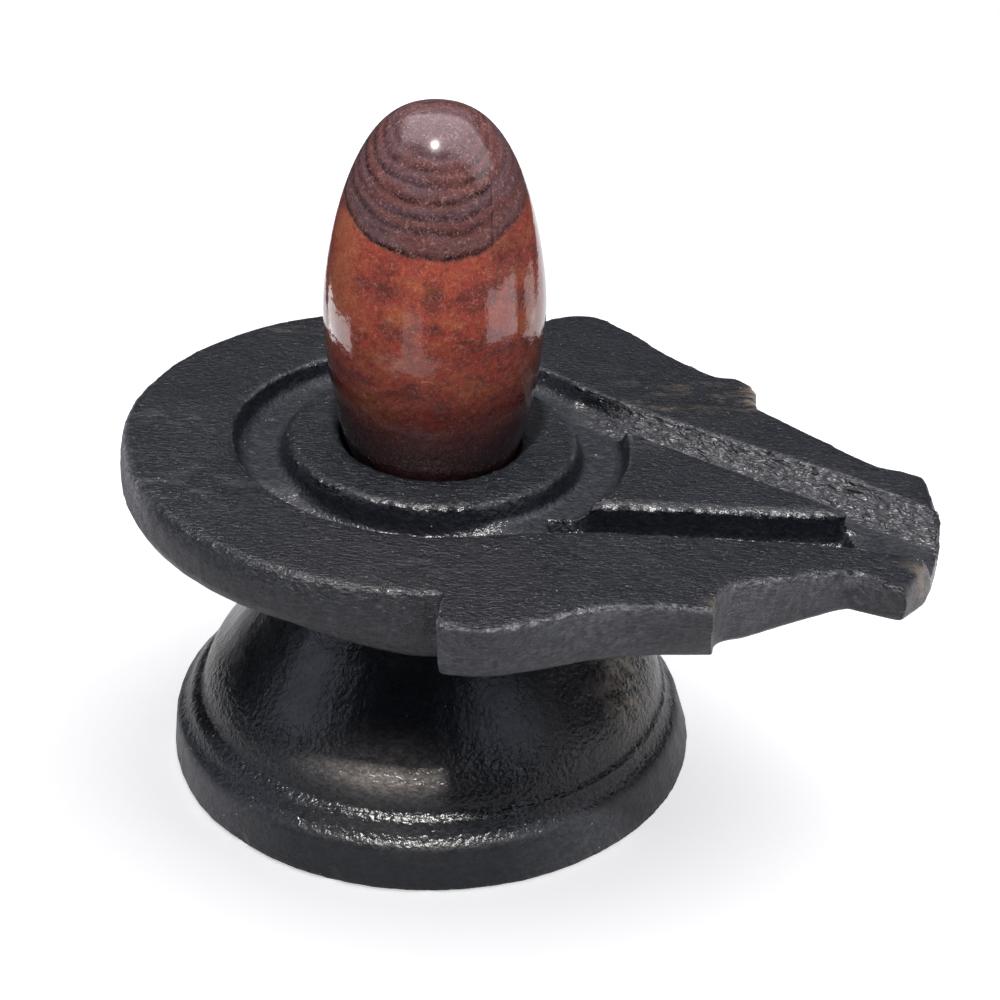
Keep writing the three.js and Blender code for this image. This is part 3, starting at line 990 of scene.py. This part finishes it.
def buildFloor():
    bm = bmesh.new()
    bmesh.ops.create_circle(bm, cap_ends=True, radius=1, segments=96)
    bmesh.ops.scale(bm, vec=studio["floorReach"], verts=bm.verts)
    bmesh.ops.translate(bm, vec=studio["floorCentre"], verts=bm.verts)
    mesh = bpy.data.meshes.new("floor")
    bm.to_mesh(mesh)
    bm.free()
    material, _, shader = newMaterial("paleFloor")
    shader.inputs["Base Color"].default_value = (*studio["floorColour"], 1)
    shader.inputs["Roughness"].default_value = studio["floorRoughness"]
    shader.inputs["Specular IOR Level"].default_value = 0
    shader.inputs["Emission Color"].default_value = (1, 1, 1, 1)
    shader.inputs["Emission Strength"].default_value = studio["floorGlow"]
    floor = addPiece("floor", mesh, material)
    return floor


# a faint sky that lights, behind it a white one that only the camera sees
def buildWorld():
    world = bpy.data.worlds.new("studio")
    scene.world = world
    world.use_nodes = True
    tree = world.node_tree
    tree.nodes.clear()
    sky = {"Color": (*studio["skyColour"], 1), "Strength": studio["skyStrength"]}
    white = {"Color": (1, 1, 1, 1), "Strength": studio["backdrop"]}
    path = addNode(tree, "ShaderNodeLightPath")
    mix = addNode(tree, "ShaderNodeMixShader", {
        0: path.outputs["Is Camera Ray"],
        1: addNode(tree, "ShaderNodeBackground", sky).outputs[0],
        2: addNode(tree, "ShaderNodeBackground", white).outputs[0],
    })
    addNode(tree, "ShaderNodeOutputWorld", {"Surface": mix.outputs[0]})


def panelLight(name):
    place, aim, size, brightness, colour = studio["panels"][name]
    data = bpy.data.lights.new(name, "AREA")
    data.shape = "RECTANGLE"
    data.size, data.size_y = size
    data.energy = brightness * math.pi * size[0] * size[1]
    data.color = colour
    light = bpy.data.objects.new(name, data)
    light.location = place
    light.rotation_mode = "QUATERNION"
    light.rotation_quaternion = (Vector(aim) - light.location).to_track_quat("-Z", "Y")
    light.visible_camera = False
    scene.collection.objects.link(light)
    return light


# the lights then reach that piece alone, or with EXCLUDE everything but it
def limitLight(piece, lights, state="INCLUDE"):
    receivers = bpy.data.collections.new(piece.name + "Light")
    receivers.objects.link(piece)
    receivers.collection_objects[0].light_linking.link_state = state
    for light in lights:
        light.light_linking.receiver_collection = receivers


floorPiece = buildFloor()
buildWorld()
panels = {name: panelLight(name) for name in studio["panels"]}
limitLight(floorPiece, [panels["key"]], "EXCLUDE")
limitLight(basePiece, [panels[name] for name in studio["onlyOnBase"]])
limitLight(lingamPiece, [panels[name] for name in studio["onlyOnLingam"]])
scene.view_settings.view_transform = "Standard"
print("stage set")
